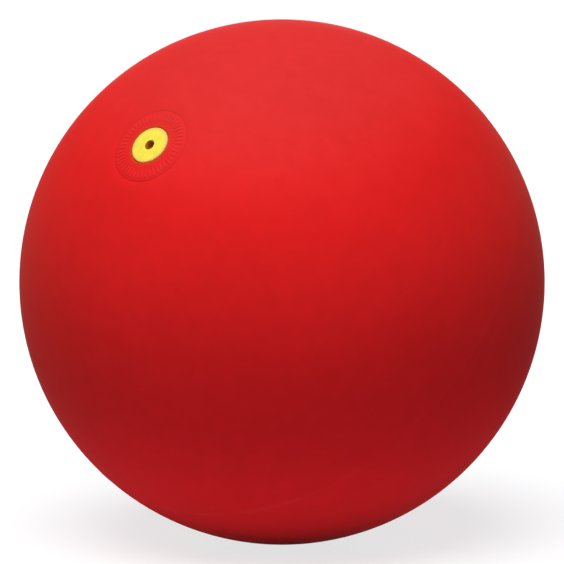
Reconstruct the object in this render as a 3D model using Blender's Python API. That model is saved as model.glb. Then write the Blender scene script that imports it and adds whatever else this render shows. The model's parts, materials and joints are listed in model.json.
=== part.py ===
"""Bell ball: an inflated rubber ball with jingle bells running loose inside it.

The origin is the centre of the ball and +Z is up. The valve faces -Y and upwards. It sits on one
pole of the ball, and the parting line of the mould is the ball's equator, square to the valve.
All sizes are in metres.
"""

import math

import bmesh
import bpy
from mathutils import Matrix, Vector

# Clearance between pieces that seat on each other
FIT_GAP = 0.0003

# Ball
BALL_DIAMETER = 0.210
WALL = 0.0028
PARTING_LINE_WIDTH = 0.0012
PARTING_LINE_HEIGHT = 0.00015

# Witness line that the mould's round valve insert leaves on the ball
INSERT_LINE_DIAMETER = 0.032
INSERT_LINE_WIDTH = 0.0008
INSERT_LINE_DEPTH = 0.0003

# Valve plug
VALVE_ELEVATION = math.radians(37)
PLUG_HEAD_DIAMETER = 0.0155
PLUG_HEAD_PROUD = 0.0002
PLUG_HEAD_ROUND = 0.0005
PLUG_STEM_DIAMETER = 0.0080
PLUG_STEM_LENGTH = 0.0155
PLUG_RIB_HEIGHT = 0.00035
PLUG_RIB_LENGTH = 0.0016
PLUG_RIB_DEPTHS = (0.0035, 0.0075)
NEEDLE_MOUTH_DIAMETER = 0.0040
NEEDLE_FUNNEL_DEPTH = 0.0040
NEEDLE_BORE_DIAMETER = 0.0022
NEEDLE_BORE_DEPTH = 0.0120
SLIT_WIDTH = 0.0005
SLIT_LENGTH = 0.0030

# Valve seat, bonded to the inside of the wall
SEAT_FLANGE_DIAMETER = 0.036
SEAT_FLANGE_THICKNESS = 0.0020
SEAT_EDGE_THICKNESS = 0.0006
SEAT_BOSS_DIAMETER = 0.0165
SEAT_TIP_DIAMETER = 0.0138
SEAT_DEPTH = 0.0135
SEAT_ROOT_FILLET = 0.0025
SEAT_TIP_ROUND = 0.0012
VALVE_HOLE_ROUND = 0.0006

# Bells
BELL_DIAMETER = 0.020
BELL_SHEET = 0.0006
BELL_RIM_WIDTH = 0.0010
BELL_RIM_GAP = 0.0002
BELL_FOLD_OVERLAP = 0.0006
BELL_TRACK_PITCH = 0.033
BELL_YAWS = tuple(math.radians(yaw) for yaw in (25, 110, -60, 165))
SLOT_REACH = math.radians(56)
SLOT_CUT_WIDTH = 0.0020
SLOT_HOLE_DIAMETER = 0.0036
LOOP_WIRE_DIAMETER = 0.0012
LOOP_EYE_DIAMETER = 0.0048
LOOP_LEG_SPACING = 0.0016
LOOP_BEND_RADIUS = 0.0007
LOOP_FOOT_REACH = math.radians(24)
PELLET_DIAMETER = 0.006

# Facets
BALL_SEGMENTS = 48
VALVE_SEGMENTS = 28
BELL_SEGMENTS = 16
PELLET_SEGMENTS = 12
OUTER_ARC_STEPS = 14
INNER_ARC_STEPS = 18
SMOOTH_ANGLE = math.radians(35)
SLIVER = 1e-6

# Derived sizes
BALL_R = BALL_DIAMETER / 2
INNER_R = BALL_R - WALL
SEAT_R = INNER_R - FIT_GAP
HEAD_R = PLUG_HEAD_DIAMETER / 2
STEM_R = PLUG_STEM_DIAMETER / 2
VALVE_HOLE_R = HEAD_R + FIT_GAP
SEAT_BORE_R = STEM_R + PLUG_RIB_HEIGHT + FIT_GAP
FLANGE_R = SEAT_FLANGE_DIAMETER / 2
FLANGE_ANGLE = math.asin(FLANGE_R / SEAT_R)
SEAT_TOP_Z = math.sqrt(SEAT_R**2 - VALVE_HOLE_R**2)
HEAD_BASE_Z = SEAT_TOP_Z + FIT_GAP
HEAD_FACE_Z = math.sqrt(BALL_R**2 - VALVE_HOLE_R**2) + PLUG_HEAD_PROUD
PLUG_TIP_Z = HEAD_BASE_Z - PLUG_STEM_LENGTH
BELL_R = BELL_DIAMETER / 2
BELL_INNER_R = BELL_R - BELL_SHEET
RIM_R = BELL_R + BELL_RIM_WIDTH
BELL_ROLLING_R = RIM_R + BELL_RIM_GAP + BELL_SHEET
LOOP_WIRE_R = LOOP_WIRE_DIAMETER / 2
LOOP_HOLE_R = LOOP_LEG_SPACING / 2 + LOOP_WIRE_R + FIT_GAP
PELLET_R = PELLET_DIAMETER / 2


def arc(centre_r, centre_z, radius, start, end, steps):
    """Profile points on an arc. Angles run from straight up towards the outside."""
    angles = [start + (end - start) * step / steps for step in range(steps + 1)]
    return [(centre_r + radius * math.sin(a), centre_z + radius * math.cos(a)) for a in angles]


def on_sphere(radius, angle):
    """Profile point on a sphere about the origin, at an angle from the top."""
    return radius * math.sin(angle), radius * math.cos(angle)


def turned(name, profile, segments):
    """Mesh of a (radius, height) profile turned about Z. Its ends lie on the axis, or it closes."""
    bm = bmesh.new()
    points = [bm.verts.new((radius, 0, height)) for radius, height in profile]
    pairs = list(zip(points, points[1:]))
    if profile[0][0] > 0:
        pairs.append((points[-1], points[0]))
    edges = [bm.edges.new(pair) for pair in pairs]
    bmesh.ops.spin(
        bm,
        geom=points + edges,
        cent=(0, 0, 0),
        axis=(0, 0, 1),
        angle=math.tau,
        steps=segments,
        use_merge=True,
    )
    bmesh.ops.remove_doubles(bm, verts=bm.verts, dist=SLIVER)
    bmesh.ops.recalc_face_normals(bm, faces=bm.faces)
    mesh = bpy.data.meshes.new(name)
    bm.to_mesh(mesh)
    bm.free()
    return smooth(mesh)


def without_slivers(mesh):
    """The mesh with points that a cut left on top of each other merged."""
    bm = bmesh.new()
    bm.from_mesh(mesh)
    bmesh.ops.remove_doubles(bm, verts=bm.verts, dist=SLIVER)
    bmesh.ops.dissolve_degenerate(bm, edges=bm.edges, dist=SLIVER)
    bm.to_mesh(mesh)
    bm.free()
    return mesh


def smooth(mesh):
    mesh.shade_smooth()
    mesh.set_sharp_from_angle(angle=SMOOTH_ANGLE)
    return mesh


def material(name, colour, roughness, metallic=0.0):
    made = bpy.data.materials.new(name)
    made.use_nodes = True
    shader = made.node_tree.nodes["Principled BSDF"]
    shader.inputs["Base Color"].default_value = (*colour, 1)
    shader.inputs["Roughness"].default_value = roughness
    shader.inputs["Metallic"].default_value = metallic
    return made


def place(name, data, parent, finish=None):
    """New object under its parent. With no data it is an empty."""
    made = bpy.data.objects.new(name, data)
    bpy.context.scene.collection.objects.link(made)
    made.parent = parent
    if finish and not data.materials:
        data.materials.append(finish)
    return made


def cut(target, cutter):
    """Boolean difference. The cutter stays as a hidden helper."""
    cutter.hide_render = True
    cutter.display_type = "WIRE"
    modifier = target.modifiers.new(cutter.name, "BOOLEAN")
    modifier.operation = "DIFFERENCE"
    modifier.object = cutter


def box(name, size, centre, parent):
    bm = bmesh.new()
    bmesh.ops.create_cube(bm, size=1, matrix=Matrix.Translation(centre) @ Matrix.Diagonal((*size, 1)))
    mesh = bpy.data.meshes.new(name)
    bm.to_mesh(mesh)
    bm.free()
    return place(name, mesh, parent)


def shell_profile():
    """Outside of the ball from its far pole to the valve hole, then back along the inside."""
    parting = PARTING_LINE_WIDTH / 2 / BALL_R
    line_start = math.asin((INSERT_LINE_DIAMETER - INSERT_LINE_WIDTH) / 2 / BALL_R)
    line_end = math.asin((INSERT_LINE_DIAMETER + INSERT_LINE_WIDTH) / 2 / BALL_R)
    line_r = BALL_R - INSERT_LINE_DEPTH
    lip_r = VALVE_HOLE_R + VALVE_HOLE_ROUND
    lip_angle = math.asin(lip_r / BALL_R)
    lip_z = BALL_R * math.cos(lip_angle)
    equator = math.pi / 2
    return [
        *arc(0, 0, BALL_R, math.pi, equator + parting, OUTER_ARC_STEPS),
        on_sphere(BALL_R + PARTING_LINE_HEIGHT, equator),
        *arc(0, 0, BALL_R, equator - parting, line_end, OUTER_ARC_STEPS),
        on_sphere(line_r, (line_start + line_end) / 2),
        *arc(0, 0, BALL_R, line_start, lip_angle, 2),
        *arc(lip_r, lip_z - VALVE_HOLE_ROUND, VALVE_HOLE_ROUND, 0, -math.pi / 2, 3)[1:],
        *arc(0, 0, INNER_R, math.asin(VALVE_HOLE_R / INNER_R), FLANGE_ANGLE, 2),
        *arc(0, 0, INNER_R, FLANGE_ANGLE, math.pi, INNER_ARC_STEPS)[1:],
    ]


def seat_profile():
    """Flange against the wall, boss with its bore for the plug's stem."""
    boss_r = SEAT_BOSS_DIAMETER / 2
    tip_r = SEAT_TIP_DIAMETER / 2
    tip_z = SEAT_TOP_Z - SEAT_DEPTH
    root_r = boss_r + SEAT_ROOT_FILLET
    root_z = math.sqrt((SEAT_R - SEAT_FLANGE_THICKNESS) ** 2 - root_r**2)
    return [
        (SEAT_BORE_R, SEAT_TOP_Z),
        *arc(0, 0, SEAT_R, math.asin(VALVE_HOLE_R / SEAT_R), FLANGE_ANGLE, 3),
        on_sphere(SEAT_R - SEAT_EDGE_THICKNESS, FLANGE_ANGLE),
        *arc(root_r, root_z - SEAT_ROOT_FILLET, SEAT_ROOT_FILLET, 0, -math.pi / 2, 4),
        *arc(tip_r - SEAT_TIP_ROUND, tip_z + SEAT_TIP_ROUND, SEAT_TIP_ROUND, math.pi / 2, math.pi, 3),
        (SEAT_BORE_R, tip_z),
    ]


def plug_profile():
    """Outside of the plug from its tip to its face, then down the needle's funnel and bore."""
    ribs = []
    for depth in sorted(PLUG_RIB_DEPTHS, reverse=True):
        crest_z = HEAD_BASE_Z - depth
        ribs += [
            (STEM_R, crest_z - PLUG_RIB_LENGTH / 2),
            (STEM_R + PLUG_RIB_HEIGHT, crest_z),
            (STEM_R, crest_z + PLUG_RIB_LENGTH / 2),
        ]
    edge_r = HEAD_R - PLUG_HEAD_ROUND
    needle_r = NEEDLE_BORE_DIAMETER / 2
    return [
        *arc(0, PLUG_TIP_Z + STEM_R, STEM_R, math.pi, math.pi / 2, 5),
        *ribs,
        (STEM_R, HEAD_BASE_Z),
        (HEAD_R, HEAD_BASE_Z),
        *arc(edge_r, HEAD_FACE_Z - PLUG_HEAD_ROUND, PLUG_HEAD_ROUND, math.pi / 2, 0, 3),
        (NEEDLE_MOUTH_DIAMETER / 2, HEAD_FACE_Z),
        (needle_r, HEAD_FACE_Z - NEEDLE_FUNNEL_DEPTH),
        (needle_r, HEAD_FACE_Z - NEEDLE_BORE_DEPTH),
        (0, HEAD_FACE_Z - NEEDLE_BORE_DEPTH - needle_r),
    ]


def upper_cup_profile():
    """Upper half of a bell: a flat rim, and a round hole in the crown for the loop."""
    rim_z = BELL_RIM_GAP / 2
    top_z = rim_z + BELL_SHEET
    return [
        (RIM_R, rim_z),
        (RIM_R, top_z),
        *arc(0, 0, BELL_R, math.acos(top_z / BELL_R), math.asin(LOOP_HOLE_R / BELL_R), 5),
        *arc(0, 0, BELL_INNER_R, math.asin(LOOP_HOLE_R / BELL_INNER_R), math.acos(rim_z / BELL_INNER_R), 5),
    ]


def lower_cup_profile():
    """Lower half of a bell, with its rim rolled up and over the rim of the upper half."""
    rim_z = -BELL_RIM_GAP / 2
    under_z = rim_z - BELL_SHEET
    fold_z = BELL_RIM_GAP * 3 / 2 + BELL_SHEET
    pocket_r = RIM_R + BELL_RIM_GAP
    bead_r = (fold_z + BELL_SHEET - under_z) / 2
    bead_z = (fold_z + BELL_SHEET + under_z) / 2
    fold_r = RIM_R - BELL_FOLD_OVERLAP
    return [
        *arc(0, 0, BELL_R, math.pi, math.acos(under_z / BELL_R), 5),
        *arc(BELL_ROLLING_R - bead_r, bead_z, bead_r, math.pi, 0, 5),
        (fold_r, fold_z + BELL_SHEET),
        (fold_r, fold_z),
        (pocket_r, fold_z),
        (pocket_r, rim_z),
        *arc(0, 0, BELL_INNER_R, math.acos(rim_z / BELL_INNER_R), math.pi, 5),
    ]


def slotted_cup():
    """Lower cup with two slots crossing at its pole and a round hole at the end of each arm."""
    cup = place("slotted_cup", turned("lower_cup", lower_cup_profile(), BELL_SEGMENTS), None)
    reach = BELL_R * math.sin(SLOT_REACH)
    depth = BELL_R
    slot_centre = (0, 0, -BELL_R * math.cos(SLOT_REACH) + BELL_SHEET - depth / 2)
    for axis, size in (("x", (2 * reach, SLOT_CUT_WIDTH)), ("y", (SLOT_CUT_WIDTH, 2 * reach))):
        cut(cup, box("slot_" + axis, (*size, depth), slot_centre, cup))
    hole_r = SLOT_HOLE_DIAMETER / 2
    drill = [(0, -2 * BELL_R), (hole_r, -2 * BELL_R), (hole_r, -BELL_R / 2), (0, -BELL_R / 2)]
    for quarter in range(4):
        punch = place("slot_end", turned("slot_end", drill, PELLET_SEGMENTS), cup)
        tilt = Matrix.Rotation(-SLOT_REACH, 4, "Y")
        punch.matrix_local = Matrix.Rotation(quarter * math.pi / 2, 4, "Z") @ tilt
        cut(cup, punch)
    bpy.context.view_layer.update()
    stamped = bpy.data.meshes.new_from_object(cup.evaluated_get(bpy.context.evaluated_depsgraph_get()))
    for helper in [*cup.children, cup]:
        bpy.data.objects.remove(helper)
    return smooth(without_slivers(stamped))


def loop_curve():
    """Wire loop: an eye above the crown, with both ends through it and splayed out underneath."""
    leg = LOOP_LEG_SPACING / 2
    eye_r = LOOP_EYE_DIAMETER / 2
    eye_z = BELL_R + LOOP_WIRE_R + eye_r
    open_angle = math.pi - math.asin(leg / eye_r)
    crown_z = math.sqrt(BELL_INNER_R**2 - LOOP_HOLE_R**2)
    bend_z = crown_z - LOOP_WIRE_DIAMETER + LOOP_BEND_RADIUS
    half = [
        on_sphere(BELL_INNER_R - FIT_GAP - LOOP_WIRE_R, LOOP_FOOT_REACH),
        *arc(leg + LOOP_BEND_RADIUS, bend_z, LOOP_BEND_RADIUS, -math.pi, -math.pi / 2, 2),
        *arc(0, eye_z, eye_r, open_angle, 0, 6),
    ]
    route = half + [(-x, z) for x, z in reversed(half[:-1])]
    curve = bpy.data.curves.new("loop", "CURVE")
    curve.dimensions = "3D"
    curve.bevel_depth = LOOP_WIRE_R
    curve.bevel_resolution = 2
    curve.use_fill_caps = True
    spline = curve.splines.new("POLY")
    spline.points.add(len(route) - 1)
    for point, (x, z) in zip(spline.points, route):
        point.co = (x, 0, z, 1)
    return curve


def pellet_mesh():
    """Round steel pellet, in its place at the side of a bell."""
    mesh = turned("pellet", arc(0, 0, PELLET_R, math.pi, 0, PELLET_SEGMENTS // 2), PELLET_SEGMENTS)
    track_r = BELL_INNER_R * math.cos(math.pi / BELL_SEGMENTS) - PELLET_R - FIT_GAP
    mesh.transform(Matrix.Translation((track_r, 0, 0)))
    return mesh


def bell_lie(offset, yaw):
    """Where a bell lies on the inside of the wall: on its rolled rim, with its axis along the wall.

    Its local X points down, to where the pellet comes to rest, and its local Z out along the loop.
    """
    half_step = (math.pi - FLANGE_ANGLE) / INNER_ARC_STEPS / 2
    wall_r = INNER_R * math.cos(math.pi / BALL_SEGMENTS) * math.cos(half_step)
    centre_r = wall_r - FIT_GAP - BELL_ROLLING_R
    centre = Vector((0, offset, -math.sqrt(centre_r**2 - offset**2)))
    across = Vector((1, 0, 0))
    along = centre.normalized().cross(across)
    axis = along * math.cos(yaw) + across * math.sin(yaw)
    down = Vector((0, 0, -1))
    down = (down - axis * down.dot(axis)).normalized()
    turn = Matrix((down, axis.cross(down), axis)).transposed()
    return Matrix.Translation(centre) @ turn.to_4x4()


def build_ball():
    red = material("ball_rubber", (0.72, 0.02, 0.02), 0.5)
    dark = material("seat_rubber", (0.05, 0.04, 0.04), 0.7)
    yellow = material("plug_rubber", (0.95, 0.75, 0.06), 0.45)
    valve = place("valve_axis", None, None)
    valve.rotation_euler = (math.pi / 2 - VALVE_ELEVATION, 0, 0)
    place("ball_shell", turned("ball_shell", shell_profile(), BALL_SEGMENTS), valve, red)
    place("valve_seat", turned("valve_seat", seat_profile(), VALVE_SEGMENTS), valve, dark)
    plug = place("valve_plug", turned("valve_plug", plug_profile(), VALVE_SEGMENTS), valve, yellow)
    slit_top = HEAD_FACE_Z - NEEDLE_BORE_DEPTH + NEEDLE_BORE_DIAMETER / 2
    slit_base = PLUG_TIP_Z - STEM_R
    size = (SLIT_LENGTH, SLIT_WIDTH, slit_top - slit_base)
    cut(plug, box("plug_slit", size, (0, 0, (slit_top + slit_base) / 2), valve))


def build_bells():
    brass = material("bell_brass", (0.80, 0.58, 0.24), 0.3, 1.0)
    steel = material("bell_steel", (0.62, 0.62, 0.64), 0.35, 1.0)
    pieces = (
        ("upper_cup", turned("upper_cup", upper_cup_profile(), BELL_SEGMENTS), brass),
        ("lower_cup", slotted_cup(), brass),
        ("loop", loop_curve(), steel),
        ("pellet", pellet_mesh(), steel),
    )
    for number, yaw in enumerate(BELL_YAWS):
        name = f"bell_{number + 1}"
        offset = (number - (len(BELL_YAWS) - 1) / 2) * BELL_TRACK_PITCH
        track = place(name + "_track", None, None)
        centre = place(name + "_centre", None, track)
        centre.matrix_local = bell_lie(offset, yaw)
        for piece, data, finish in pieces:
            place(f"{name}_{piece}", data, centre, finish)


for leftover in list(bpy.data.objects):
    bpy.data.objects.remove(leftover)
build_ball()
build_bells()
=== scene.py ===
"""Bell ball: its moulded skin, yellow valve and loose bells with their finishes, on a plain stage.

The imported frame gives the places, the ball's radius and the valve's face. The other sizes and the
colours are in the property groups. Each piece is modelled about its own axis, then laid in its place.
"""

import json
import math

import bmesh
import bpy
from bpy.props import FloatProperty, FloatVectorProperty, IntProperty, PointerProperty
from mathutils import Matrix, Vector

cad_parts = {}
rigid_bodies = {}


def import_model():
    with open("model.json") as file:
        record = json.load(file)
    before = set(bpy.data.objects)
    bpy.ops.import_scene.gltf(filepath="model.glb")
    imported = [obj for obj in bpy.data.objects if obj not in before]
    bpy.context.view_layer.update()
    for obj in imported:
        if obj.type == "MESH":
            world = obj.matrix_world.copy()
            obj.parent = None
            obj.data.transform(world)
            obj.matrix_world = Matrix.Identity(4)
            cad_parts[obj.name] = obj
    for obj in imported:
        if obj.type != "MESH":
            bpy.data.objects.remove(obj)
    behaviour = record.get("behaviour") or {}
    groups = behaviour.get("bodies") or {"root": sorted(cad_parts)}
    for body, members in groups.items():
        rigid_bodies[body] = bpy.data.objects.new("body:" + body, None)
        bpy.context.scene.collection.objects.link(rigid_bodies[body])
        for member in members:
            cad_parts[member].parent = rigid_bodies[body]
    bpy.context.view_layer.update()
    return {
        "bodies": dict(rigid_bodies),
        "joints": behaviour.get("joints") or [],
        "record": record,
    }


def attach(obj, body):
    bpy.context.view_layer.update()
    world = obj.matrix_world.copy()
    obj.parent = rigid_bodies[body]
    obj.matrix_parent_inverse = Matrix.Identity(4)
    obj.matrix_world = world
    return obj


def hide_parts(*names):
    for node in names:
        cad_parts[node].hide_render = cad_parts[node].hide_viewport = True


bl_info = {
    "name": "Bell Ball",
    "version": (1, 0, 0),
    "blender": (4, 5, 0),
    "location": "View3D > Sidebar > Bell Ball",
    "description": "Models a rubber bell ball's skin, valve and bells around its packed frame",
    "category": "Add Mesh",
}

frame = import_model()

JOINTS = {joint["name"]: joint for joint in frame["joints"]}
MOUNTS = {mount["name"]: mount for mount in frame["record"]["mounts"]}
VALVE_AXIS = Vector(JOINTS["valve_plug_pull"]["axis"]).normalized()
BALL_R = -MOUNTS["floor_rest"]["pos_m"][2]
FACE_Z = Vector(MOUNTS["valve_face"]["pos_m"]).dot(VALVE_AXIS)
BELLS = [name for name in frame["bodies"] if f"{name}_roll" in JOINTS]

UP = Vector((0, 0, 1))
QUARTER = math.pi / 2
WHITE = (1.0, 1.0, 1.0)
RUBBER_IOR = 1.5

# Distances below which stray points merge, and the angle up to which faces shade as one
MERGE = 1e-6
SLIVER = 4e-6
SMOOTH_ANGLE = math.radians(40)

# Ways on the ball: up from its underside, and to the middle of the painted sheen and painted shade on its
# upper part, near the soft lamp's direction
UNDERSIDE_UP = (0.05, -0.08, 1.0)
SHEEN_AND_SHADE_WAY = (0.18, -0.32, 0.93)

# Steps round the turned pieces, and facets of the others
VALVE_STEPS = 96
BELL_STEPS = 64
PUNCH_SIDES = 40
PELLET_SUBDIVISIONS = 5
WIRE_RESOLUTION = 4

# Steps along the arcs of profiles, from small roundings to whole domes
SMALL_STEPS = 4
MOUTH_STEPS = 5
EDGE_STEPS = 6
ROUND_STEPS = 8
FLANGE_STEPS = 10
TIP_STEPS = 12
RIM_STEPS = 14
CUP_STEPS = 20
BOWL_STEPS = 22
NEAR_STEPS = 42
FAR_STEPS = 46
INNER_STEPS = 60

# Where soft ridges have points, as shares of their half width
BEAD_SHARES = (-0.75, -0.5, -0.25, 0.0, 0.25, 0.5, 0.75)
LINE_SHARES = (-1.0, -0.6, -0.3, 0.0, 0.3, 0.6, 1.0)
STEM_RIB_SHARES = (-1.0, -0.5, 0.0, 0.5, 1.0)

# Ribs round the valve: steps from one to the next, rows along each, and the tiers of their flanks
RIB_STEPS = 4
RIB_ROWS = 6
RIB_TIERS = (0.55, 0.3, 0.15)
RIB_RUN = 0.8

# Rings on the plug's face, as shares of its radius, and how much of a quarter turn rounds its mouth
FACE_RINGS = (0.75, 0.5, 0.32)
MOUTH_TURN = 0.85


def length(name, description, default):
    return FloatProperty(
        name=name, description=description, default=default, unit="LENGTH", precision=5, min=0.0
    )


def colour(name, description, default):
    return FloatVectorProperty(
        name=name, description=description, default=default, subtype="COLOR", size=3, min=0.0, max=1.0
    )


def angle(name, description, degrees):
    return FloatProperty(
        name=name, description=description, default=math.radians(degrees), subtype="ANGLE"
    )


def amount(name, description, default, **limits):
    return FloatProperty(name=name, description=description, default=default, **{"min": 0.0, **limits})


class BallSizes(bpy.types.PropertyGroup):
    """Sizes of the moulded skin"""

    radius: length("Radius", "Outside of the inflated ball", BALL_R)
    wall: length("Wall", "Thickness of the rubber", 0.0028)
    parting_width: length("Parting line width", "Width of the bead where the mould halves met", 0.0024)
    parting_height: length("Parting line height", "How far the bead stands proud", 0.00005)
    line_radius: length("Ring line radius", "Radius of the line that the valve insert left", 0.0160)
    line_width: length("Ring line width", "Width of the ring line", 0.0008)
    line_depth: length("Ring line depth", "Depth of the ring line", 0.00015)
    rib_inner: length("Rib start", "Distance of the ribs' inner ends from the valve's axis", 0.0112)
    rib_outer: length("Rib end", "Distance of the ribs' outer ends from the valve's axis", 0.0146)
    rib_height: length("Rib height", "How far the ribs stand proud", 0.00016)
    rib_count: IntProperty(name="Ribs", description="Plain ribs round the valve", default=48, min=3)
    hole_radius: length("Valve hole radius", "Radius of the hole that the plug fills", 0.00805)
    hole_round: length("Valve hole rounding", "Rounding of the hole's outer edge", 0.0004)
    # Depths of the painted shade at the valve hole's edge
    lip_start: length("Lip grime start", "Depth below the outside where the lip's grime is full", 0.0002)
    lip_depth: length("Lip grime end", "Depth below the outside where the lip's grime ends", 0.0012)


class ValveSizes(bpy.types.PropertyGroup):
    """Sizes of the yellow plug and the seat that grips it"""

    head_radius: length("Head radius", "Radius of the plug's flat head", 0.00788)
    head_round: length("Head rounding", "Rounding of the head's edge", 0.0005)
    head_base: length("Head base", "Height of the head's underside above the ball's centre", 0.101881)
    stem_radius: length("Stem radius", "Radius of the plug's stem", 0.0040)
    stem_length: length("Stem length", "Length of the stem below the head", 0.0155)
    rib_height: length("Stem rib height", "How far the stem's grip ribs stand proud", 0.00035)
    rib_half: length("Stem rib half length", "Half the length of a grip rib along the stem", 0.0008)
    upper_rib: length("Upper rib", "Depth of the upper grip rib below the head", 0.0035)
    lower_rib: length("Lower rib", "Depth of the lower grip rib below the head", 0.0075)
    root_round: length("Head root rounding", "Rounding under the head, at the stem and the rim", 0.0004)
    mouth_round: length("Needle mouth rounding", "Rounding of the needle hole's edge", 0.00035)
    mouth_radius: length("Needle mouth radius", "Radius of the needle hole at the face", 0.0020)
    bore_radius: length("Needle bore radius", "Radius of the needle hole inside", 0.0011)
    funnel_depth: length("Needle funnel depth", "Depth where the funnel ends", 0.0040)
    bore_depth: length("Needle bore depth", "Depth of the needle hole", 0.0120)
    # Depths of the painted shade down the needle hole
    hole_shade_start: length("Needle grime start", "Depth where the needle hole's grime thickens", 0.0002)
    hole_shade_depth: length("Needle grime depth", "Depth where the needle hole's grime is thickest", 0.0020)
    slit_width: length("Slit width", "Width of the slit that seals behind the needle", 0.0005)
    slit_length: length("Slit length", "Length of the slit across the tip", 0.0030)
    flange_radius: length("Flange radius", "Radius of the seat's flange on the wall", 0.018)
    flange_edge: length("Flange edge", "Thickness of the flange at its edge", 0.0006)
    flange_thickness: length("Flange thickness", "Thickness of the flange at the boss", 0.0020)
    boss_radius: length("Boss radius", "Radius of the boss at the flange", 0.00825)
    tip_radius: length("Boss tip radius", "Radius of the boss at its inner end", 0.0069)
    seat_depth: length("Seat depth", "Length of the seat's bore", 0.0135)
    root_fillet: length("Boss root fillet", "Fillet between the flange and the boss", 0.0025)
    tip_round: length("Boss tip rounding", "Rounding of the boss's inner end", 0.0012)
    bore_round: length("Bore rounding", "Rounding of the bore's outer edge", 0.0005)
    gap: length("Fit gap", "Clearance between pieces that seat on each other", 0.0003)


class BellSizes(bpy.types.PropertyGroup):
    """Sizes of one jingle bell"""

    radius: length("Radius", "Outside of the cups", 0.010)
    sheet: length("Sheet", "Thickness of the brass sheet", 0.0006)
    rim_width: length("Rim width", "Width of the upper cup's flat rim", 0.0010)
    rim_gap: length("Rim gap", "Clearance between the two rims", 0.0002)
    fold_overlap: length("Fold overlap", "How far the lower rim folds over the upper one", 0.0006)
    slot_width: length("Slot width", "Width of the crossed slots", 0.0020)
    slot_reach: angle("Slot reach", "Angle from the pole to the slot ends", 56)
    slot_hole: length("Slot hole radius", "Radius of the round hole at each slot end", 0.0018)
    wire: length("Wire radius", "Radius of the loop's wire", 0.0006)
    eye: length("Eye radius", "Radius of the loop's eye", 0.0024)
    leg: length("Leg offset", "Distance of each leg from the bell's axis", 0.0008)
    bend: length("Wire bend", "Radius of the bends under the crown", 0.0007)
    foot_reach: angle("Foot reach", "Angle from the bell's axis to the wire's ends", 24)
    pellet: length("Pellet radius", "Radius of the loose pellet", 0.0030)
    pellet_flat: length("Pellet flat", "Distance of the worn flats from the pellet's centre", 0.00288)
    pellet_track: length("Pellet track", "Distance of the pellet's centre from the bell's axis", 0.005920)


class Finishes(bpy.types.PropertyGroup):
    """Colours of the materials, the light and the floor"""

    ball: colour("Ball rubber", "Red of the moulded skin", (0.82, 0.0152, 0.0168))
    plug: colour("Plug rubber", "Yellow of the valve plug", (0.92, 0.79, 0.070))
    seat: colour("Seat rubber", "Near black of the valve seat", (0.030, 0.026, 0.025))
    brass: colour("Bell brass", "Brass of the bell cups", (0.80, 0.56, 0.22))
    steel: colour("Bell steel", "Steel of the loops and pellets", (0.56, 0.56, 0.58))
    # Painted sheen: a paler tint on the ball's top that stands in for the soft lamp's broad highlight
    painted_sheen: colour("Bloom", "Dusty bloom on the ball's upper part", (0.80, 0.14, 0.15))
    # Painted shade at the valve hole's edge, where the gap round the plug lies in shade
    lip_painted_shade: colour("Lip grime", "Grime on the edge of the valve hole", (0.55, 0.075, 0.008))
    # Painted shade round the edge of the plug's head
    plug_edge_shade: colour("Plug edge", "Handled edge of the plug's head", (0.96, 0.42, 0.19))
    # Painted shade down the needle hole
    needle_hole_shade: colour("Needle grime", "Grime down the needle hole", (0.46, 0.10, 0.008))
    tarnish: colour("Tarnish", "Brown patches on the brass", (0.42, 0.25, 0.09))
    spots: colour("Spots", "Dark spots on the brass", (0.30, 0.19, 0.10))
    rust: colour("Rust", "Freckles on the steel", (0.24, 0.11, 0.05))
    lamp: colour("Lamp", "Tint of the soft lamp", (1.0, 0.98, 0.84))
    cool: colour("Cool light", "Tint of the fill lamp and of the light from all round", (0.50, 0.56, 1.0))
    floor: colour("Floor", "Pale floor, as it throws light back", (0.67, 0.69, 0.95))
    wash: colour("Floor wash", "Part of the seen floor that takes shadows", (0.30, 0.31, 0.36))


class StageSettings(bpy.types.PropertyGroup):
    """Camera, light and floor, fitted to the photograph"""

    azimuth: angle("Azimuth", "Turn of the camera about the ball, from the front towards +X", 37.45)
    elevation: angle("Elevation", "Height of the camera over the ball's centre, as an angle", 8.42)
    distance: amount("Distance", "Camera distance, in ball radii", 17.5, min=1.5)
    fill: amount("Fill", "Share of the frame's width that the ball takes up", 0.932, min=0.05, max=1.0)
    lamp_azimuth: angle("Lamp azimuth", "Side that the soft lamp shines from", 22)
    lamp_elevation: angle("Lamp elevation", "Height of the soft lamp", 66.5)
    lamp_strength: amount("Lamp strength", "Strength of the soft lamp", 3.4)
    lamp_spread: angle("Lamp spread", "Width of the soft lamp as an angle", 47)
    fill_strength: amount("Fill strength", "Strength of the weak lamp by the camera", 0.30)
    back_strength: amount("Back strength", "Strength of the lamp behind the ball", 1.2)
    ambient: amount("Ambient", "Light that comes from all round", 0.06)
    floor_size: length("Floor size", "Side of the floor", 40)
    sweep_start: length("Sweep start", "Distance from the ball's axis where the floor turns darker", 0.118)
    sweep_end: length("Sweep end", "Distance from the ball's axis where the floor is darkest", 0.218)
    sweep_dim: amount("Sweep share", "Share of the floor's colour that is left beyond the sweep", 0.31)
    glow: amount("Floor glow", "White added to the floor where it is seen", 0.74)


class BellBallSettings(bpy.types.PropertyGroup):
    """Everything that a user would change"""

    ball: PointerProperty(type=BallSizes)
    valve: PointerProperty(type=ValveSizes)
    bell: PointerProperty(type=BellSizes)
    finish: PointerProperty(type=Finishes)
    stage: PointerProperty(type=StageSettings)


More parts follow.
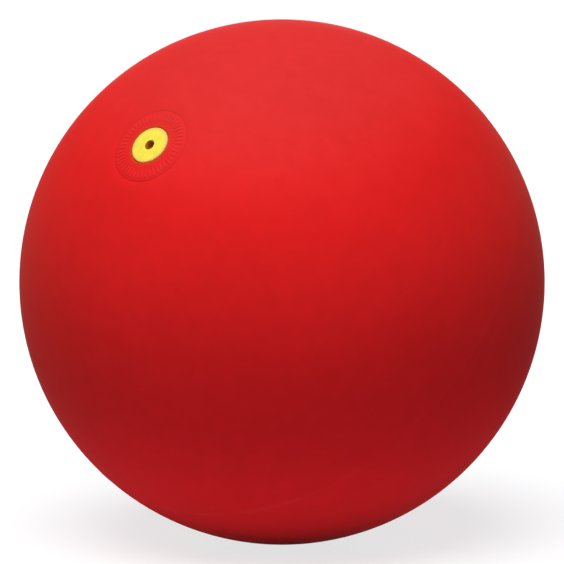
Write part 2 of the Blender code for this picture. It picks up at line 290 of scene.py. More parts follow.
class Socket:
    """An output socket that takes part in Python arithmetic: each operator adds a Math node."""

    def __init__(self, tree, output):
        self.tree = tree
        self.output = output

    def node(self, kind, settings, inputs, output=None):
        """Adds any node to this socket's tree: settings first, then values or links by identifier."""
        made = self.tree.nodes.new(kind)
        for name, value in settings.items():
            setattr(made, name, value)
        sockets = {socket.identifier: socket for socket in made.inputs}
        for name, value in inputs.items():
            if isinstance(value, Socket):
                self.tree.links.new(value.output, sockets[name])
            else:
                sockets[name].default_value = value
        outputs = {socket.identifier: socket for socket in made.outputs}
        return Socket(self.tree, outputs[output] if output else made.outputs[0])

    def math(self, operation, first, second=0.0):
        return self.node("ShaderNodeMath", {"operation": operation}, {"Value": first, "Value_001": second})

    def __add__(self, other):
        return self.math("ADD", self, other)

    def __radd__(self, other):
        return self.math("ADD", other, self)

    def __sub__(self, other):
        return self.math("SUBTRACT", self, other)

    def __rsub__(self, other):
        return self.math("SUBTRACT", other, self)

    def __mul__(self, other):
        return self.math("MULTIPLY", self, other)

    def __rmul__(self, other):
        return self.math("MULTIPLY", other, self)

    def __truediv__(self, other):
        return self.math("DIVIDE", self, other)

    def __abs__(self):
        return self.math("ABSOLUTE", self)

    def step(self, low, high):
        """0 at low and below, 1 at high and above, with a smooth rise. Low may be the larger."""
        ends = {"Value": self, "From Min": low, "From Max": high}
        return self.node("ShaderNodeMapRange", {"interpolation_type": "SMOOTHSTEP"}, ends)

    def blend(self, first, second):
        """The first colour where this is 0, the second where it is 1."""
        values = {"Factor_Float": self, "A_Color": first, "B_Color": second}
        return self.node("ShaderNodeMix", {"data_type": "RGBA"}, values, "Result_Color")

    def dot(self, direction):
        values = {"Vector": self, "Vector_001": direction}
        return self.node("ShaderNodeVectorMath", {"operation": "DOT_PRODUCT"}, values, "Value")

    def size(self):
        return self.node("ShaderNodeVectorMath", {"operation": "LENGTH"}, {"Vector": self}, "Value")

    def cross(self, direction):
        values = {"Vector": self, "Vector_001": direction}
        return self.node("ShaderNodeVectorMath", {"operation": "CROSS_PRODUCT"}, values)

    def noise(self, scale, detail, roughness=0.5, distortion=0.0):
        values = {
            "Vector": self,
            "Scale": scale,
            "Detail": detail,
            "Roughness": roughness,
            "Distortion": distortion,
        }
        return self.node("ShaderNodeTexNoise", {"normalize": True}, values)

    def stretched(self, scale, turn):
        values = {"Vector": self, "Rotation": turn, "Scale": scale}
        return self.node("ShaderNodeMapping", {}, values)

    def bump(self, distance, strength):
        values = {"Height": self, "Distance": distance, "Strength": strength}
        return self.node("ShaderNodeBump", {}, values, "Normal")


def opaque(shade):
    return (*shade, 1.0)


def scaled(shade, factor):
    return tuple(min(1.0, part * factor) for part in shade)


def layered(shade, *layers):
    """A shade under coats of colour. Each layer is a mask from 0 to 1 and the coat's colour."""
    for mask, coat in layers:
        shade = mask.blend(shade, opaque(coat))
    return shade


def new_finish(name, constants):
    """A material, the Socket of its Object coordinates, and a function that links its shader's sockets."""
    made = bpy.data.materials.new(name)
    made.use_nodes = True
    tree = made.node_tree
    shader = tree.nodes["Principled BSDF"]
    for socket, value in constants.items():
        shader.inputs[socket].default_value = value

    def link(**sockets):
        for socket, value in sockets.items():
            tree.links.new(value.output, shader.inputs[socket.replace("_", " ")])

    place = Socket(tree, tree.nodes.new("ShaderNodeTexCoord").outputs["Object"])
    return made, place, link


def ball_rubber(settings):
    """Red moulded rubber: cloudy, scuffed and dusty, with painted sheen and painted shade on its upper
    part, painted shade at the valve hole's edge, and dirt and painted shade in the ring line.
    """
    sizes = settings.ball
    finish = settings.finish
    red = finish.ball
    pale = tuple(part * 0.92 + 0.045 for part in red)
    constants = {
        "Specular IOR Level": 0.006,
        "IOR": RUBBER_IOR,
        "Sheen Weight": 0.04,
        "Sheen Roughness": 0.5,
        "Sheen Tint": (1.0, 0.92, 0.66, 1.0),
    }
    made, place, link = new_finish("ball_rubber", constants)
    along = place.dot(VALVE_AXIS)
    away = place.cross(VALVE_AXIS).size()
    proud = place.size() - sizes.radius
    valve_side = along.step(0.0, sizes.radius * 0.5)
    underside = (place.dot(UNDERSIDE_UP) / sizes.radius).step(-0.45, -0.72)
    upper = place.dot(SHEEN_AND_SHADE_WAY) / sizes.radius

    clouds = place.noise(scale=16.0, detail=2.0).step(0.3, 0.7)
    mottle = place.noise(scale=140.0, detail=3.0).step(0.35, 0.65)
    grain = place.noise(scale=2600.0, detail=2.0)
    pores = place.noise(scale=900.0, detail=3.0, roughness=0.6)
    dust = place.noise(scale=420.0, detail=5.0, roughness=0.72).step(0.63, 0.76)
    drawn = place.stretched(scale=(60.0, 60.0, 900.0), turn=(0.5, 0.9, 0.2))
    streaks = drawn.noise(scale=1.0, detail=3.0, roughness=0.6).step(0.66, 0.74)
    scuffs = streaks * place.noise(scale=28.0, detail=2.0).step(0.50, 0.66)

    parting = abs(along).step(sizes.parting_width * 0.7, sizes.parting_width * 0.2)
    parting = parting * (0.2 + 0.8 * underside) * (0.6 + 0.4 * mottle)
    # Ring line: dirt and painted shade in its groove
    line = abs(away - sizes.line_radius).step(sizes.line_width * 0.6, sizes.line_width * 0.1)
    line = line * valve_side
    crown = proud.step(sizes.rib_height * 0.3, sizes.rib_height * 0.9)
    # Painted sheen: paler on the top towards the soft lamp, where its broad highlight falls
    painted_sheen = (upper + 0.04 * clouds - 0.02).step(0.65, 0.99) * (0.9 + 0.1 * mottle)
    # Painted shade: darker on the top nearest the soft lamp, holding down its brightest light
    painted_top_shade = upper.step(0.74, 0.99)
    # Painted shade on the valve hole's edge and round the gap at the plug
    lip = valve_side * away.step(sizes.hole_radius * 1.20, sizes.hole_radius)
    lip = lip * proud.step(-sizes.lip_depth, -sizes.lip_start)

    shade = layered(
        (0.6 * clouds + 0.4 * mottle).blend(opaque(scaled(red, 0.955)), opaque(scaled(red, 1.045))),
        (0.14 * parting, pale),
        # dirt and painted shade in the ring line
        (0.15 * line, scaled(red, 0.35)),
        (0.25 * crown, pale),
        (0.10 * dust + 0.16 * scuffs, pale),
        # painted shade on the top
        (0.20 * painted_top_shade, scaled(red, 0.2)),
        # painted sheen on the top
        (0.15 * painted_sheen, finish.painted_sheen),
        # painted shade at the valve hole's edge
        (0.75 * lip, finish.lip_painted_shade),
    )
    rough = 0.58 + 0.07 * clouds + 0.05 * mottle - 0.06 * crown + 0.05 * dust - 0.08 * scuffs
    relief = 0.6 * grain + 0.4 * pores
    link(Base_Color=shade, Roughness=rough, Normal=relief.bump(distance=0.00003, strength=0.5))
    return made


def plug_rubber(settings):
    """Yellow rubber with painted shade round its head's edge and down the needle hole."""
    sizes = settings.valve
    finish = settings.finish
    yellow = finish.plug
    made, place, link = new_finish("plug_rubber", {"Specular IOR Level": 0.35, "IOR": RUBBER_IOR})
    away = place.cross(VALVE_AXIS).size()
    along = place.dot(VALVE_AXIS)
    clouds = place.noise(scale=350.0, detail=3.0).step(0.3, 0.7)
    grain = place.noise(scale=3200.0, detail=2.0)
    # Painted shade round the head's edge
    edge = away.step(sizes.head_radius * 0.76, sizes.head_radius)
    # Painted shade down the needle hole, darkest deeper in
    hole = away.step(sizes.mouth_radius * 1.12, sizes.mouth_radius * 0.96)
    hole_end = FACE_Z - sizes.bore_depth - sizes.bore_radius
    hole = hole * along.step(hole_end - sizes.bore_radius, hole_end)
    deep = along.step(FACE_Z - sizes.hole_shade_start, FACE_Z - sizes.hole_shade_depth)
    shade = layered(
        clouds.blend(opaque(scaled(yellow, 0.95)), opaque(scaled(yellow, 1.04))),
        # painted shade round the head's edge
        (0.55 * edge, finish.plug_edge_shade),
        # painted shade down the needle hole
        (0.80 * hole + 0.18 * hole * deep, finish.needle_hole_shade),
    )
    rough = 0.42 + 0.10 * clouds + 0.15 * edge
    link(Base_Color=shade, Roughness=rough, Normal=grain.bump(distance=0.00002, strength=0.4))
    return made


def seat_rubber(settings):
    """Near-black rubber with a dusting of chalk."""
    black = settings.finish.seat
    chalky = tuple(part + 0.10 for part in black)
    made, place, link = new_finish("seat_rubber", {"Specular IOR Level": 0.35, "IOR": RUBBER_IOR})
    chalk = place.noise(scale=220.0, detail=5.0, roughness=0.65).step(0.45, 0.75)
    grain = place.noise(scale=2400.0, detail=2.0)
    shade = layered(opaque(black), (0.5 * chalk, chalky))
    rough = 0.62 + 0.2 * chalk
    link(Base_Color=shade, Roughness=rough, Normal=grain.bump(distance=0.00003, strength=0.5))
    return made


def bell_brass(settings):
    """Stamped brass: brushed sheen, brown tarnish in patches and small scratches."""
    finish = settings.finish
    made, place, link = new_finish("bell_brass", {"Metallic": 1.0})
    tarnish = place.noise(scale=130.0, detail=5.0, roughness=0.62, distortion=0.6).step(0.46, 0.72)
    spots = place.noise(scale=900.0, detail=3.0, roughness=0.6).step(0.60, 0.74)
    drawn = place.stretched(scale=(2600.0, 2600.0, 160.0), turn=(0.6, 0.3, 0.9))
    scratches = drawn.noise(scale=1.0, detail=2.0)
    shade = layered(opaque(finish.brass), (0.6 * tarnish, finish.tarnish), (0.5 * spots, finish.spots))
    rough = 0.20 + 0.22 * tarnish + 0.15 * spots + 0.08 * scratches
    link(Base_Color=shade, Roughness=rough, Normal=scratches.bump(distance=0.00002, strength=0.35))
    return made


def bell_steel(settings):
    """Drawn and tumbled steel with faint rust freckles."""
    finish = settings.finish
    steel = finish.steel
    made, place, link = new_finish("bell_steel", {"Metallic": 1.0})
    haze = place.noise(scale=300.0, detail=4.0, roughness=0.6).step(0.3, 0.7)
    rust = place.noise(scale=760.0, detail=4.0, roughness=0.65).step(0.64, 0.76)
    drawn = place.stretched(scale=(3000.0, 3000.0, 240.0), turn=(0.2, 0.8, 0.4))
    scratches = drawn.noise(scale=1.0, detail=2.0)
    shade = layered(
        haze.blend(opaque(scaled(steel, 0.9)), opaque(scaled(steel, 1.08))), (0.5 * rust, finish.rust)
    )
    rough = 0.26 + 0.12 * haze + 0.2 * rust
    link(Base_Color=shade, Roughness=rough, Normal=scratches.bump(distance=0.00002, strength=0.3))
    return made


def arc(centre_r, centre_z, radius, start, end, steps):
    """Profile points on an arc. Angles run from straight up towards the outside."""
    turns = [start + (end - start) * step / steps for step in range(steps + 1)]
    return [(centre_r + radius * math.sin(turn), centre_z + radius * math.cos(turn)) for turn in turns]


def on_sphere(radius, turn):
    return radius * math.sin(turn), radius * math.cos(turn)


def swell(share):
    """Height of a soft ridge at a share of its half width: 1 on its crest and 0 at its foot."""
    return (1 + math.cos(math.pi * share)) / 2


def turned(name, profile, steps):
    """Turns a (radius, height) profile about Z. Its ends lie on the axis, or it closes."""
    bpy.ops.object.select_all(action="DESELECT")
    bpy.ops.mesh.primitive_plane_add(size=BALL_R)
    piece = bpy.context.object
    piece.name = name
    piece.data.name = name
    bpy.ops.object.mode_set(mode="EDIT")
    bpy.ops.mesh.select_mode(type="VERT")
    bpy.ops.mesh.merge(type="CENTER")
    radius, height = profile[0]
    bpy.ops.transform.translate(value=(radius, 0, height))
    for (from_r, from_z), (to_r, to_z) in zip(profile, profile[1:]):
        step = (to_r - from_r, 0, to_z - from_z)
        bpy.ops.mesh.extrude_region_move(TRANSFORM_OT_translate={"value": step})
    if profile[0][0] > MERGE:
        close_profile(piece)
    bpy.ops.object.mode_set(mode="OBJECT")
    modifier = piece.modifiers.new("turn", "SCREW")
    modifier.steps = steps
    modifier.render_steps = steps
    modifier.use_merge_vertices = True
    modifier.merge_threshold = MERGE
    bpy.ops.object.modifier_apply(modifier=modifier.name)
    bpy.ops.object.mode_set(mode="EDIT")
    bpy.ops.mesh.select_all(action="SELECT")
    bpy.ops.mesh.remove_doubles(threshold=MERGE)
    bpy.ops.mesh.normals_make_consistent(inside=False)
    bpy.ops.object.mode_set(mode="OBJECT")
    return piece


def close_profile(piece):
    """Joins the two loose ends of the profile being drawn."""
    drawing = bmesh.from_edit_mesh(piece.data)
    for vert in drawing.verts:
        vert.select_set(len(vert.link_edges) == 1)
    bmesh.update_edit_mesh(piece.data)
    bpy.ops.mesh.edge_face_add()


def select_faces(piece, chosen):
    """In edit mode, selects the faces whose centre passes a test."""
    bpy.ops.mesh.select_mode(type="FACE")
    bpy.ops.mesh.select_all(action="DESELECT")
    drawing = bmesh.from_edit_mesh(piece.data)
    for face in drawing.faces:
        face.select_set(chosen(face.calc_center_median()))
    bmesh.update_edit_mesh(piece.data)


def make_active(piece):
    bpy.ops.object.select_all(action="DESELECT")
    piece.select_set(True)
    bpy.context.view_layer.objects.active = piece


def lay(piece, matrix):
    """Puts a finished piece in its place, with the place in its mesh."""
    make_active(piece)
    piece.matrix_world = matrix
    bpy.ops.object.transform_apply(location=True, rotation=True, scale=True)
    bpy.ops.object.shade_smooth_by_angle(angle=SMOOTH_ANGLE)
    return piece


def cut(piece, cutter):
    """Takes the cutter's shape out of the piece, and removes the cutter."""
    make_active(piece)
    modifier = piece.modifiers.new("cut", "BOOLEAN")
    modifier.operation = "DIFFERENCE"
    modifier.object = cutter
    bpy.ops.object.modifier_apply(modifier=modifier.name)
    bpy.data.objects.remove(cutter)


def clean(piece):
    """Merges the doubles and takes away the slivers that cuts leave."""
    make_active(piece)
    bpy.ops.object.mode_set(mode="EDIT")
    bpy.ops.mesh.select_all(action="SELECT")
    bpy.ops.mesh.remove_doubles(threshold=SLIVER)
    bpy.ops.mesh.dissolve_degenerate(threshold=SLIVER)
    bpy.ops.object.mode_set(mode="OBJECT")


def hand_over(piece, body, node, finish):
    """Dresses a piece, and lets it stand for its node on the frame."""
    piece.data.materials.clear()
    piece.data.materials.append(finish)
    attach(piece, body)
    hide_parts(node)


def valve_turn():
    """Turns a piece modelled about Z to the valve's axis."""
    return UP.rotation_difference(VALVE_AXIS).to_matrix().to_4x4()


def bell_turn(bell):
    """Lays a bell modelled about Z where its pellet's joint is, with its X down."""
    joint = JOINTS[f"{bell}_pellet_rattle"]
    axis = Vector(joint["axis"]).normalized()
    down = (axis * UP.dot(axis) - UP).normalized()
    turn = Matrix((down, axis.cross(down), axis)).transposed().to_4x4()
    return Matrix.Translation(joint["pos_m"]) @ turn


def skin_profile(sizes):
    """Outside of the skin from its far pole to the valve hole, then back along the inside."""
    radius = sizes.radius
    inner = radius - sizes.wall
    half = sizes.parting_width / 2 / radius
    bead = [
        on_sphere(radius + sizes.parting_height * swell(share), QUARTER - half * share)
        for share in BEAD_SHARES
    ]
    line = [
        on_sphere(
            radius - sizes.line_depth * swell(share),
            math.asin((sizes.line_radius - sizes.line_width / 2 * share) / radius),
        )
        for share in LINE_SHARES
    ]
    rib_span = sizes.rib_inner - sizes.rib_outer
    rib_rows = [sizes.rib_outer + rib_span * row / RIB_ROWS for row in range(RIB_ROWS + 1)]
    lip_r = sizes.hole_radius + sizes.hole_round
    lip_z = math.sqrt(radius**2 - lip_r**2)
    line_angle = math.asin((sizes.line_radius + sizes.line_width / 2) / radius)
    return [
        *arc(0, 0, radius, math.pi, QUARTER + half, FAR_STEPS),
        *bead,
        *arc(0, 0, radius, QUARTER - half, line_angle, NEAR_STEPS)[:-1],
        *line,
        *[on_sphere(radius, math.asin(row / radius)) for row in rib_rows],
        on_sphere(radius, math.asin((sizes.rib_inner + lip_r) / 2 / radius)),
        *arc(lip_r, lip_z - sizes.hole_round, sizes.hole_round, 0, -QUARTER, EDGE_STEPS),
        *arc(0, 0, inner, math.asin(sizes.hole_radius / inner), math.pi, INNER_STEPS),
    ]


class BELLBALL_OT_ball_skin(bpy.types.Operator):
    """Models the moulded skin with its ribs, ring line and parting line"""

    bl_idname = "bellball.ball_skin"
    bl_label = "Ball Skin"

    def execute(self, context):
        settings = context.scene.bell_ball
        sizes = settings.ball
        steps = sizes.rib_count * RIB_STEPS
        skin = turned("ball_skin", skin_profile(sizes), steps)
        make_active(skin)
        bpy.ops.object.mode_set(mode="EDIT")

        def on_rib(centre):
            outside = centre.z > 0 and centre.length > sizes.radius - sizes.wall / 2
            away = math.hypot(centre.x, centre.y)
            place = math.atan2(centre.y, centre.x) / math.tau * steps % RIB_STEPS
            return outside and sizes.rib_inner < away < sizes.rib_outer and place < RIB_STEPS / 2

        select_faces(skin, on_rib)
        for share in RIB_TIERS:
            rise = sizes.rib_height * share
            bpy.ops.mesh.inset(thickness=rise * RIB_RUN, depth=rise)
        bpy.ops.object.mode_set(mode="OBJECT")
        lay(skin, valve_turn())
        hand_over(skin, "ball", "ball_shell", ball_rubber(settings))
        return {"FINISHED"}


def seat_profile(ball, valve):
    """Flange against the wall, and the boss with its bore for the plug's stem."""
    flange = ball.radius - ball.wall - valve.gap
    top = valve.head_base - valve.gap
    bore = valve.stem_radius + valve.rib_height + valve.gap
    edge = math.asin(valve.flange_radius / flange)
    edge_round = valve.flange_edge / 2
    fillet = valve.root_fillet
    root_r = valve.boss_radius + fillet
    root_z = math.sqrt((flange - valve.flange_thickness) ** 2 - root_r**2)
    tip = valve.tip_round
    end = top - valve.seat_depth
    mouth = valve.bore_round
    return [
        (bore, top - mouth),
        *arc(bore + mouth, top - mouth, mouth, -QUARTER, 0, SMALL_STEPS)[1:],
        *arc(0, 0, flange, math.asin(ball.hole_radius / flange), edge, FLANGE_STEPS),
        *arc(*on_sphere(flange - edge_round, edge), edge_round, edge, edge + math.pi, EDGE_STEPS)[1:],
        *arc(root_r, root_z - fillet, fillet, 0, -QUARTER, FLANGE_STEPS),
        *arc(valve.tip_radius - tip, end + tip, tip, QUARTER, math.pi, ROUND_STEPS),
        (bore, end),
    ]


class BELLBALL_OT_valve_seat(bpy.types.Operator):
    """Models the seat that grips the plug behind the wall"""

    bl_idname = "bellball.valve_seat"
    bl_label = "Valve Seat"

    def execute(self, context):
        settings = context.scene.bell_ball
        seat = turned("seat_boss", seat_profile(settings.ball, settings.valve), VALVE_STEPS)
        lay(seat, valve_turn())
        hand_over(seat, "ball", "valve_seat", seat_rubber(settings))
        return {"FINISHED"}


def plug_profile(valve):
    """Outside of the plug from its tip to its face, then down the needle's funnel and bore."""
    stem = valve.stem_radius
    tip_z = valve.head_base - valve.stem_length
    ribs = [
        (stem + valve.rib_height * swell(share), valve.head_base - depth + valve.rib_half * share)
        for depth in (valve.lower_rib, valve.upper_rib)
        for share in STEM_RIB_SHARES
    ]
    root = valve.root_round
    edge = valve.head_round
    mouth = valve.mouth_round
    return [
        *arc(0, tip_z + stem, stem, math.pi, QUARTER, TIP_STEPS),
        *ribs,
        *arc(stem + root, valve.head_base - root, root, -QUARTER, 0, SMALL_STEPS),
        *arc(valve.head_radius - root, valve.head_base + root, root, math.pi, QUARTER, SMALL_STEPS),
        *arc(valve.head_radius - edge, FACE_Z - edge, edge, QUARTER, 0, ROUND_STEPS),
        *[(valve.head_radius * share, FACE_Z) for share in FACE_RINGS],
        *arc(valve.mouth_radius + mouth, FACE_Z - mouth, mouth, 0, -QUARTER * MOUTH_TURN, MOUTH_STEPS),
        (valve.bore_radius, FACE_Z - valve.funnel_depth),
        (valve.bore_radius, FACE_Z - valve.bore_depth),
        (0, FACE_Z - valve.bore_depth - valve.bore_radius),
    ]


class BELLBALL_OT_valve_plug(bpy.types.Operator):
    """Models the yellow plug with its needle hole and sealing slit"""

    bl_idname = "bellball.valve_plug"
    bl_label = "Valve Plug"

    def execute(self, context):
        settings = context.scene.bell_ball
        valve = settings.valve
        plug = turned("yellow_plug", plug_profile(valve), VALVE_STEPS)
        slit_top = FACE_Z - valve.bore_depth + valve.bore_radius
        slit_base = valve.head_base - valve.stem_length - valve.stem_radius
        bpy.ops.object.select_all(action="DESELECT")
        bpy.ops.mesh.primitive_cube_add(
            size=1,
            location=(0, 0, (slit_top + slit_base) / 2),
            scale=(valve.slit_length, valve.slit_width, slit_top - slit_base),
        )
        cut(plug, bpy.context.object)
        lay(plug, valve_turn())
        hand_over(plug, "plug", "valve_plug", plug_rubber(settings))
        return {"FINISHED"}


def upper_cup_profile(bell, hole):
    """Upper half of a bell: a flat rim, and a round hole in the crown for the loop."""
    inner = bell.radius - bell.sheet
    rim_r = bell.radius + bell.rim_width
    rim_z = bell.rim_gap / 2
    top_z = rim_z + bell.sheet
    return [
        (rim_r, rim_z),
        (rim_r, top_z),
        *arc(0, 0, bell.radius, math.acos(top_z / bell.radius), math.asin(hole / bell.radius), CUP_STEPS),
        *arc(0, 0, inner, math.asin(hole / inner), math.acos(rim_z / inner), CUP_STEPS),
    ]


def lower_cup_profile(bell):
    """Lower half of a bell, with its rim rolled up and over the rim of the upper half."""
    inner = bell.radius - bell.sheet
    rim_r = bell.radius + bell.rim_width
    rim_z = -bell.rim_gap / 2
    under_z = rim_z - bell.sheet
    fold_z = bell.rim_gap * 3 / 2 + bell.sheet
    pocket_r = rim_r + bell.rim_gap
    bead_r = (fold_z + bell.sheet - under_z) / 2
    bead_z = (fold_z + bell.sheet + under_z) / 2
    fold_r = rim_r - bell.fold_overlap
    return [
        *arc(0, 0, bell.radius, math.pi, math.acos(under_z / bell.radius), BOWL_STEPS),
        *arc(pocket_r + bell.sheet - bead_r, bead_z, bead_r, math.pi, 0, RIM_STEPS),
        *arc(fold_r, fold_z + bell.sheet / 2, bell.sheet / 2, 0, -math.pi, EDGE_STEPS),
        (pocket_r, fold_z),
        (pocket_r, rim_z),
        *arc(0, 0, inner, math.acos(rim_z / inner), math.pi, BOWL_STEPS),
    ]


def loop_hole(bell, gap):
    return bell.leg + bell.wire + gap


class BELLBALL_OT_bell_cups(bpy.types.Operator):
    """Models the bells' stamped cups, the lower ones with their crossed slots"""

    bl_idname = "bellball.bell_cups"
    bl_label = "Bell Cups"

    def execute(self, context):
        settings = context.scene.bell_ball
        bell = settings.bell
        brass = bell_brass(settings)
        hole = loop_hole(bell, settings.valve.gap)
        upper = turned("bell_crown", upper_cup_profile(bell, hole), BELL_STEPS)
        lower = turned("bell_bowl", lower_cup_profile(bell), BELL_STEPS)
        self.cut_slots(lower, bell)
        for name in BELLS:
            for model, part, node in ((upper, "crown", "upper_cup"), (lower, "bowl", "lower_cup")):
                piece = copied(model, f"{name}_{part}")
                lay(piece, bell_turn(name))
                hand_over(piece, name, f"{name}_{node}", brass)
        for model in (upper, lower):
            bpy.data.objects.remove(model)
        return {"FINISHED"}

    def cut_slots(self, cup, bell):
        """Two slots crossing at the pole, with a round hole at the end of each arm."""
        reach = bell.radius * math.sin(bell.slot_reach)
        depth = bell.radius
        centre_z = -bell.radius * math.cos(bell.slot_reach) + bell.sheet - depth / 2
        for size in ((2 * reach, bell.slot_width, depth), (bell.slot_width, 2 * reach, depth)):
            bpy.ops.object.select_all(action="DESELECT")
            bpy.ops.mesh.primitive_cube_add(size=1, location=(0, 0, centre_z), scale=size)
            cut(cup, bpy.context.object)
        for quarter in range(4):
            turn = Matrix.Rotation(quarter * QUARTER, 3, "Z") @ Matrix.Rotation(-bell.slot_reach, 3, "Y")
            bpy.ops.object.select_all(action="DESELECT")
            bpy.ops.mesh.primitive_cylinder_add(
                vertices=PUNCH_SIDES,
                radius=bell.slot_hole,
                depth=bell.radius,
                location=turn @ Vector((0, 0, -bell.radius)),
                rotation=turn.to_euler(),
            )
            cut(cup, bpy.context.object)
        clean(cup)


def copied(model, name):
    """A copy of a model with a mesh of its own."""
    piece = model.copy()
    piece.data = model.data.copy()
    piece.name = name
    piece.data.name = name
    bpy.context.scene.collection.objects.link(piece)
    return piece


class BELLBALL_OT_bell_loops(bpy.types.Operator):
    """Bends the wire loops that pass through the bells' crowns"""

    bl_idname = "bellball.bell_loops"
    bl_label = "Bell Loops"

    def execute(self, context):
        settings = context.scene.bell_ball
        steel = bell_steel(settings)
        model = self.bent_wire(settings.bell, settings.valve.gap)
        for name in BELLS:
            piece = copied(model, f"{name}_eye")
            lay(piece, bell_turn(name))
            hand_over(piece, name, f"{name}_loop", steel)
        bpy.data.objects.remove(model)
        return {"FINISHED"}

    def bent_wire(self, bell, gap):
        """An eye above the crown, with both ends through it and splayed out underneath."""
        inner = bell.radius - bell.sheet
        bend = bell.bend
        eye_z = bell.radius + bell.wire + bell.eye
        open_angle = math.pi - math.asin(bell.leg / bell.eye)
        crown_z = math.sqrt(inner**2 - loop_hole(bell, gap) ** 2)
        bend_z = crown_z - 2 * bell.wire + bend
        half = [
            on_sphere(inner - gap - bell.wire, bell.foot_reach),
            *arc(bell.leg + bend, bend_z, bend, -math.pi, -QUARTER, EDGE_STEPS),
            *arc(0, eye_z, bell.eye, open_angle, 0, CUP_STEPS),
        ]
        route = half + [(-x, z) for x, z in reversed(half[:-1])]
        bpy.ops.object.select_all(action="DESELECT")
        bpy.ops.curve.primitive_bezier_curve_add()
        wire = bpy.context.object
        wire.name = "bell_loop"
        curve = wire.data
        curve.splines.clear()
        curve.bevel_depth = bell.wire
        curve.bevel_resolution = WIRE_RESOLUTION
        curve.use_fill_caps = True
        spline = curve.splines.new("POLY")
        spline.points.add(len(route) - 1)
        for point, (x, z) in zip(spline.points, route):
            point.co = (x, 0, z, 1)
        bpy.ops.object.convert(target="MESH")
        return bpy.context.object


class BELLBALL_OT_bell_pellets(bpy.types.Operator):
    """Models the loose steel pellets, with the flats that tumbling wears on them"""

    bl_idname = "bellball.bell_pellets"
    bl_label = "Bell Pellets"

    def execute(self, context):
        settings = context.scene.bell_ball
        bell = settings.bell
        steel = bell_steel(settings)
        bpy.ops.object.select_all(action="DESELECT")
        bpy.ops.mesh.primitive_ico_sphere_add(
            subdivisions=PELLET_SUBDIVISIONS, radius=bell.pellet, location=(bell.pellet_track, 0, 0)
        )
        model = bpy.context.object
        model.name = "bell_shot"
        self.wear_flats(bell)
        for name in BELLS:
            piece = copied(model, f"{name}_shot")
            lay(piece, bell_turn(name) @ Matrix.Translation((bell.pellet_track, 0, 0)))
            hand_over(piece, f"{name}_pellet", f"{name}_pellet", steel)
        bpy.data.objects.remove(model)
        return {"FINISHED"}

    def wear_flats(self, bell):
        """Cuts the active pellet's two poles flat, as a sheared and tumbled slug has them."""
        bpy.ops.object.mode_set(mode="EDIT")
        for side in (-1, 1):
            bpy.ops.mesh.select_all(action="SELECT")
            bpy.ops.mesh.bisect(
                plane_co=(bell.pellet_track, 0, side * bell.pellet_flat),
                plane_no=(0, 0, side),
                use_fill=True,
                clear_outer=True,
            )
        bpy.ops.object.mode_set(mode="OBJECT")


def from_angles(azimuth, elevation):
    """Direction at an azimuth from the front and an elevation over the level."""
    return Vector(
        (
            math.sin(azimuth) * math.cos(elevation),
            -math.cos(azimuth) * math.cos(elevation),
            math.sin(elevation),
        )
    )


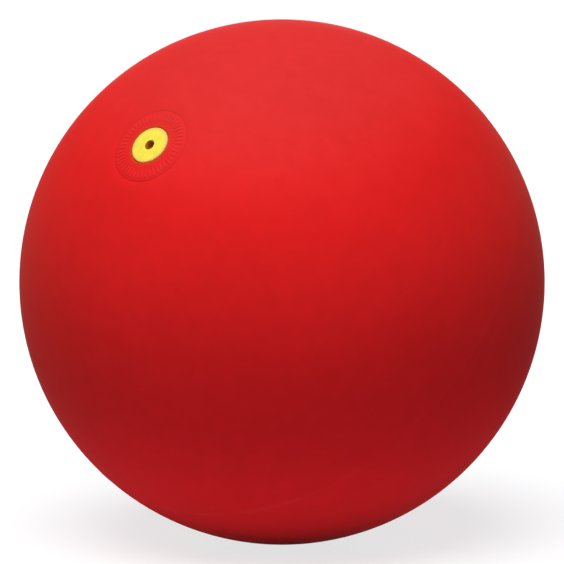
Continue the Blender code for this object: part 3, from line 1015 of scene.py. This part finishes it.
class BELLBALL_OT_stage(bpy.types.Operator):
    """Sets a plain pale floor, soft light and the photograph's camera"""

    bl_idname = "bellball.stage"
    bl_label = "Stage"

    def execute(self, context):
        settings = context.scene.bell_ball
        stage = settings.stage
        context.scene.view_settings.view_transform = "Standard"
        self.lay_floor(settings)
        self.light_world(context.scene, stage, settings.finish.cool)
        key = from_angles(stage.lamp_azimuth, stage.lamp_elevation)
        self.hang_lamp("soft_lamp", key, stage.lamp_strength, stage.lamp_spread, settings.finish.lamp)
        front = from_angles(stage.azimuth, stage.elevation)
        wide = 2 * stage.lamp_spread
        fill = self.hang_lamp("fill_lamp", front, stage.fill_strength, wide, settings.finish.cool)
        behind = from_angles(stage.azimuth + math.pi, stage.elevation / 2)
        rear = self.hang_lamp("back_lamp", behind, stage.back_strength, stage.lamp_spread / 2)
        for lamp in (fill, rear):
            lamp.visible_glossy = False
        self.set_camera(context.scene, stage, settings.ball.radius)
        return {"FINISHED"}

    def lay_floor(self, settings):
        bpy.ops.object.select_all(action="DESELECT")
        bpy.ops.mesh.primitive_plane_add(
            size=settings.stage.floor_size, location=(0, 0, -settings.ball.radius)
        )
        bpy.ops.object.transform_apply(location=True)
        floor = bpy.context.object
        floor.name = "floor"
        floor.data.materials.append(self.floor_paint(settings))

    def floor_paint(self, settings):
        """Pale paint that keeps shadows, lifted to white where it is seen."""
        made = bpy.data.materials.new("floor_paint")
        made.use_nodes = True
        tree = made.node_tree
        tree.nodes.remove(tree.nodes["Principled BSDF"])
        seen = seen_rays(tree)
        place = Socket(tree, tree.nodes.new("ShaderNodeTexCoord").outputs["Object"])
        away = place.cross(UP).size()
        stage = settings.stage
        near = opaque(settings.finish.floor)
        far = opaque(scaled(settings.finish.floor, stage.sweep_dim))
        sweep = away.step(stage.sweep_start, stage.sweep_end).blend(near, far)
        paint = seen.node("ShaderNodeBsdfDiffuse", {}, {"Color": sweep})
        wash = seen.node("ShaderNodeBsdfDiffuse", {}, {"Color": opaque(settings.finish.wash)})
        glow = seen.node("ShaderNodeEmission", {}, {"Color": opaque(WHITE), "Strength": stage.glow})
        lifted = seen.node("ShaderNodeAddShader", {}, {"Shader": wash, "Shader_001": glow})
        both = seen.node("ShaderNodeMixShader", {}, {"Fac": seen, "Shader": paint, "Shader_001": lifted})
        tree.links.new(both.output, tree.nodes["Material Output"].inputs["Surface"])
        return made

    def light_world(self, scene, stage, cool):
        world = bpy.data.worlds.new("studio")
        scene.world = world
        world.use_nodes = True
        tree = world.node_tree
        seen = seen_rays(tree)
        strength = seen * (1.0 - stage.ambient) + stage.ambient
        tree.links.new(strength.output, tree.nodes["Background"].inputs["Strength"])
        sky = seen.blend(opaque(cool), opaque(WHITE))
        tree.links.new(sky.output, tree.nodes["Background"].inputs["Color"])

    def hang_lamp(self, name, towards, strength, spread, tint=WHITE):
        bpy.ops.object.light_add(type="SUN", rotation=towards.to_track_quat("Z", "Y").to_euler())
        lamp = bpy.context.object
        lamp.name = name
        lamp.data.energy = strength
        lamp.data.angle = spread
        lamp.data.color = tint
        return lamp

    def set_camera(self, scene, stage, radius):
        back = from_angles(stage.azimuth, stage.elevation)
        bpy.ops.object.camera_add(
            location=back * stage.distance * radius, rotation=back.to_track_quat("Z", "Y").to_euler()
        )
        camera = bpy.context.object
        camera.name = "photo_camera"
        ball_tangent = 1 / math.sqrt(stage.distance**2 - 1)
        camera.data.lens = camera.data.sensor_width / 2 * stage.fill / ball_tangent
        scene.camera = camera


def seen_rays(tree):
    """1 for rays that show the stage itself: to the camera, in a reflection or through glass."""
    path = tree.nodes.new("ShaderNodeLightPath")
    camera, glossy, through = (
        Socket(tree, path.outputs[name])
        for name in ("Is Camera Ray", "Is Glossy Ray", "Is Transmission Ray")
    )
    return camera.math("MINIMUM", camera + glossy + through, 1.0)


OPERATORS = (
    BELLBALL_OT_ball_skin,
    BELLBALL_OT_valve_seat,
    BELLBALL_OT_valve_plug,
    BELLBALL_OT_bell_cups,
    BELLBALL_OT_bell_loops,
    BELLBALL_OT_bell_pellets,
    BELLBALL_OT_stage,
)


class BELLBALL_PT_sidebar(bpy.types.Panel):
    """Lists the pieces of the bell ball"""

    bl_idname = "BELLBALL_PT_sidebar"
    bl_label = "Bell Ball"
    bl_space_type = "VIEW_3D"
    bl_region_type = "UI"
    bl_category = "Bell Ball"

    def draw(self, context):
        for operator in OPERATORS:
            self.layout.operator(operator.bl_idname)


CLASSES = (
    BallSizes,
    ValveSizes,
    BellSizes,
    Finishes,
    StageSettings,
    BellBallSettings,
    *OPERATORS,
    BELLBALL_PT_sidebar,
)


def register():
    for made in CLASSES:
        bpy.utils.register_class(made)
    bpy.types.Scene.bell_ball = PointerProperty(type=BellBallSettings)


def unregister():
    del bpy.types.Scene.bell_ball
    for made in reversed(CLASSES):
        bpy.utils.unregister_class(made)


def main():
    register()
    bpy.ops.bellball.ball_skin()
    bpy.ops.bellball.valve_seat()
    bpy.ops.bellball.valve_plug()
    bpy.ops.bellball.bell_cups()
    bpy.ops.bellball.bell_loops()
    bpy.ops.bellball.bell_pellets()
    bpy.ops.bellball.stage()


if __name__ == "__main__":
    main()
